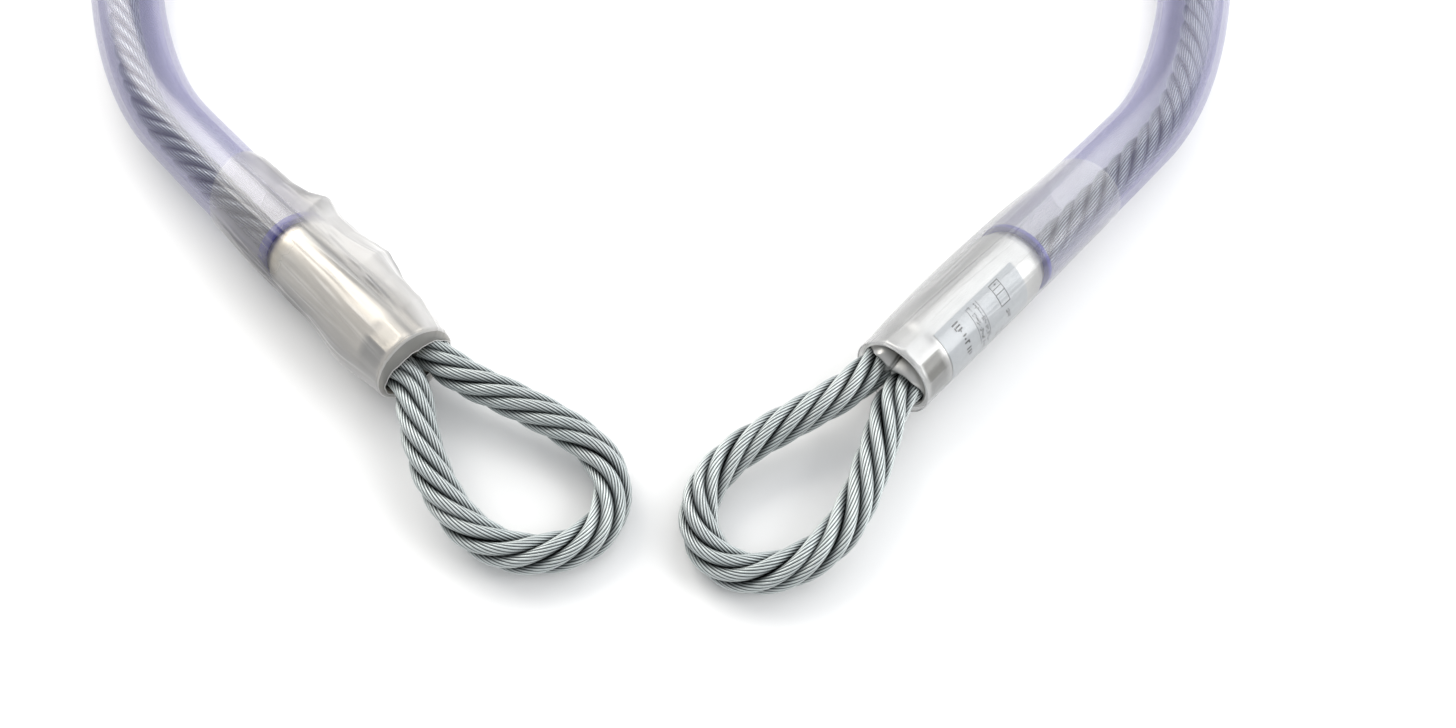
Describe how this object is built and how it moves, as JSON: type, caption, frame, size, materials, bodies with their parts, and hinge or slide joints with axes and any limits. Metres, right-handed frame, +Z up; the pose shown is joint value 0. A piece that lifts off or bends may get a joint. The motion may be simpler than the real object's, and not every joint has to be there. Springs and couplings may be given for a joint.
{
  "type": "wire rope sling",
  "caption": "Galvanised wire rope sling laid in an open loop: a soft eye at each end, pressed ferrules under clear shrink sleeves, and a clear violet-tinted tube over its body.",
  "frame": {"origin": "under the middle of the bounding box, on the surface that the sling lies on", "axes": "+Z up; +X from the left end to the right end; the eyes point towards -Y and the loop closes at +Y"},
  "size_m": [0.3289, 0.3808, 0.0196],
  "materials": {
    "galvanised_rope": "zinc-coated drawn wire, satin",
    "ferrule_alloy": "satin, as pressed",
    "clear_tube": "clear flexible tube with a violet tint",
    "clear_sleeve": "clear shrink film, lightly wrinkled",
    "label_film": null
  },
  "bodies": {
    "left_side": {"rope_left_eye": "galvanised_rope", "ferrule_left": "ferrule_alloy", "sleeve_left": "clear_sleeve", "protective_tube": "clear_tube", "rope_body": "galvanised_rope"},
    "right_side": {"rope_right_eye": "galvanised_rope", "ferrule_right": "ferrule_alloy", "sleeve_right": "clear_sleeve", "label": "label_film"}
  },
  "joints": [
    {"name": "body_bend", "type": "hinge", "parent": "left_side", "child": "right_side", "pos_m": [0, 0.1813, 0.009], "axis": [0, 0, 1], "range_deg": [-1, 18], "stiffness_Nm_per_rad": 1.5, "deforming": ["protective_tube", "rope_body"]}
  ]
}
